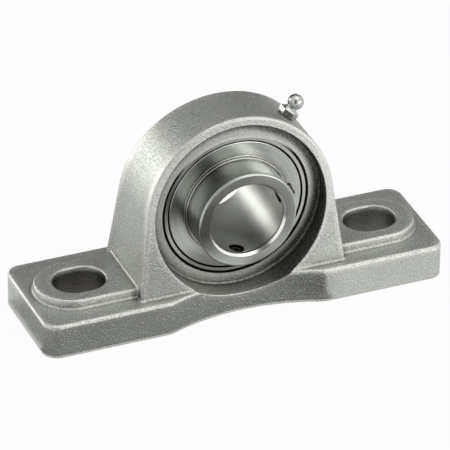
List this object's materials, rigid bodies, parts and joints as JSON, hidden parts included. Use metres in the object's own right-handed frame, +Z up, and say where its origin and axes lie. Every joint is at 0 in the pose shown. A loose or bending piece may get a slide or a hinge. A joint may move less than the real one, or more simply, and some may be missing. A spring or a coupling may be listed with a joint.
{
  "type": "pillow block bearing",
  "caption": "Cast pillow block with a slotted foot holding a self-aligning ball bearing insert: locking collar with set screws, flingers, seals, caged balls and a grease nipple.",
  "frame": {"origin": "on the shaft axis, in the middle of the housing and of the outer ring", "axes": "+X along the foot towards the grease nipple, +Y along the shaft away from the set screw collar, +Z up from the foot"},
  "size_m": [0.165, 0.048, 0.0817],
  "materials": {
    "housing_steel": "blasted cast stainless steel",
    "ring_steel": "turned and ground",
    "flinger_steel": "pressed bright sheet",
    "cage_steel": "pressed sheet",
    "ball_steel": "lapped",
    "seal_core_steel": "pressed sheet",
    "seal_rubber": "moulded nitrile",
    "screw_steel": "machined",
    "nipple_steel": "bright",
    "spring_steel": "drawn wire"
  },
  "bodies": {
    "housing": {"housing": "housing_steel", "nipple_body": "nipple_steel", "nipple_spring": "spring_steel"},
    "outer_ring": {"outer_ring": "ring_steel", "seal_core_front": "seal_core_steel", "seal_core_back": "seal_core_steel", "seal_lip_front": "seal_rubber", "seal_lip_back": "seal_rubber"},
    "inner_ring": {"inner_ring": "ring_steel", "flinger_front": "flinger_steel", "flinger_back": "flinger_steel"},
    "cage": {"cage_front": "cage_steel", "cage_back": "cage_steel", "cage_rivets": "cage_steel"},
    "ball_1": {"ball_1": "ball_steel"},
    "ball_2": {"ball_2": "ball_steel"},
    "ball_3": {"ball_3": "ball_steel"},
    "ball_4": {"ball_4": "ball_steel"},
    "ball_5": {"ball_5": "ball_steel"},
    "ball_6": {"ball_6": "ball_steel"},
    "ball_7": {"ball_7": "ball_steel"},
    "ball_8": {"ball_8": "ball_steel"},
    "ball_9": {"ball_9": "ball_steel"},
    "set_screw_1": {"set_screw_1": "screw_steel"},
    "set_screw_2": {"set_screw_2": "screw_steel"},
    "nipple_ball": {"nipple_ball": "ball_steel"}
  },
  "joints": [
    {"name": "align_tilt", "type": "hinge", "parent": "housing", "child": "outer_ring", "pos_m": [0, 0, 0], "axis": [1, 0, 0], "range_deg": [-2, 2]},
    {"name": "shaft_spin", "type": "hinge", "parent": "outer_ring", "child": "inner_ring", "pos_m": [0, 0, 0], "axis": [0, 1, 0], "continuous": true},
    {"name": "cage_spin", "type": "hinge", "parent": "outer_ring", "child": "cage", "pos_m": [0, 0, 0], "axis": [0, 1, 0], "continuous": true},
    {"name": "ball_1_spin", "type": "hinge", "parent": "cage", "child": "ball_1", "pos_m": [0, 0, 0.023], "axis": [0, 1, 0], "continuous": true},
    {"name": "ball_2_spin", "type": "hinge", "parent": "cage", "child": "ball_2", "pos_m": [-0.01478, 0, 0.01762], "axis": [0, 1, 0], "continuous": true},
    {"name": "ball_3_spin", "type": "hinge", "parent": "cage", "child": "ball_3", "pos_m": [-0.02265, 0, 0.00399], "axis": [0, 1, 0], "continuous": true},
    {"name": "ball_4_spin", "type": "hinge", "parent": "cage", "child": "ball_4", "pos_m": [-0.01992, 0, -0.0115], "axis": [0, 1, 0], "continuous": true},
    {"name": "ball_5_spin", "type": "hinge", "parent": "cage", "child": "ball_5", "pos_m": [-0.00787, 0, -0.02161], "axis": [0, 1, 0], "continuous": true},
    {"name": "ball_6_spin", "type": "hinge", "parent": "cage", "child": "ball_6", "pos_m": [0.00787, 0, -0.02161], "axis": [0, 1, 0], "continuous": true},
    {"name": "ball_7_spin", "type": "hinge", "parent": "cage", "child": "ball_7", "pos_m": [0.01992, 0, -0.0115], "axis": [0, 1, 0], "continuous": true},
    {"name": "ball_8_spin", "type": "hinge", "parent": "cage", "child": "ball_8", "pos_m": [0.02265, 0, 0.00399], "axis": [0, 1, 0], "continuous": true},
    {"name": "ball_9_spin", "type": "hinge", "parent": "cage", "child": "ball_9", "pos_m": [0.01478, 0, 0.01762], "axis": [0, 1, 0], "continuous": true},
    {"name": "set_screw_1_travel", "type": "slide", "parent": "inner_ring", "child": "set_screw_1", "axis": [0.9397, 0, 0.342], "range_m": [-0.0005, 0.003]},
    {"name": "set_screw_2_travel", "type": "slide", "parent": "inner_ring", "child": "set_screw_2", "axis": [-0.1736, 0, -0.9848], "range_m": [-0.0005, 0.003]},
    {"name": "nipple_valve", "type": "slide", "parent": "housing", "child": "nipple_ball", "axis": [-0.6088, 0, -0.7934], "range_m": [0, 0.0006], "stiffness_N_per_m": 200, "springref_m": -0.001, "deforming": ["nipple_spring"]}
  ],
  "couplings": [
    {"joint": "cage_spin", "follows": "shaft_spin", "ratio": 0.39647},
    {"joint": "ball_1_spin", "follows": "shaft_spin", "ratio": -2.3112},
    {"joint": "ball_2_spin", "follows": "shaft_spin", "ratio": -2.3112},
    {"joint": "ball_3_spin", "follows": "shaft_spin", "ratio": -2.3112},
    {"joint": "ball_4_spin", "follows": "shaft_spin", "ratio": -2.3112},
    {"joint": "ball_5_spin", "follows": "shaft_spin", "ratio": -2.3112},
    {"joint": "ball_6_spin", "follows": "shaft_spin", "ratio": -2.3112},
    {"joint": "ball_7_spin", "follows": "shaft_spin", "ratio": -2.3112},
    {"joint": "ball_8_spin", "follows": "shaft_spin", "ratio": -2.3112},
    {"joint": "ball_9_spin", "follows": "shaft_spin", "ratio": -2.3112}
  ]
}
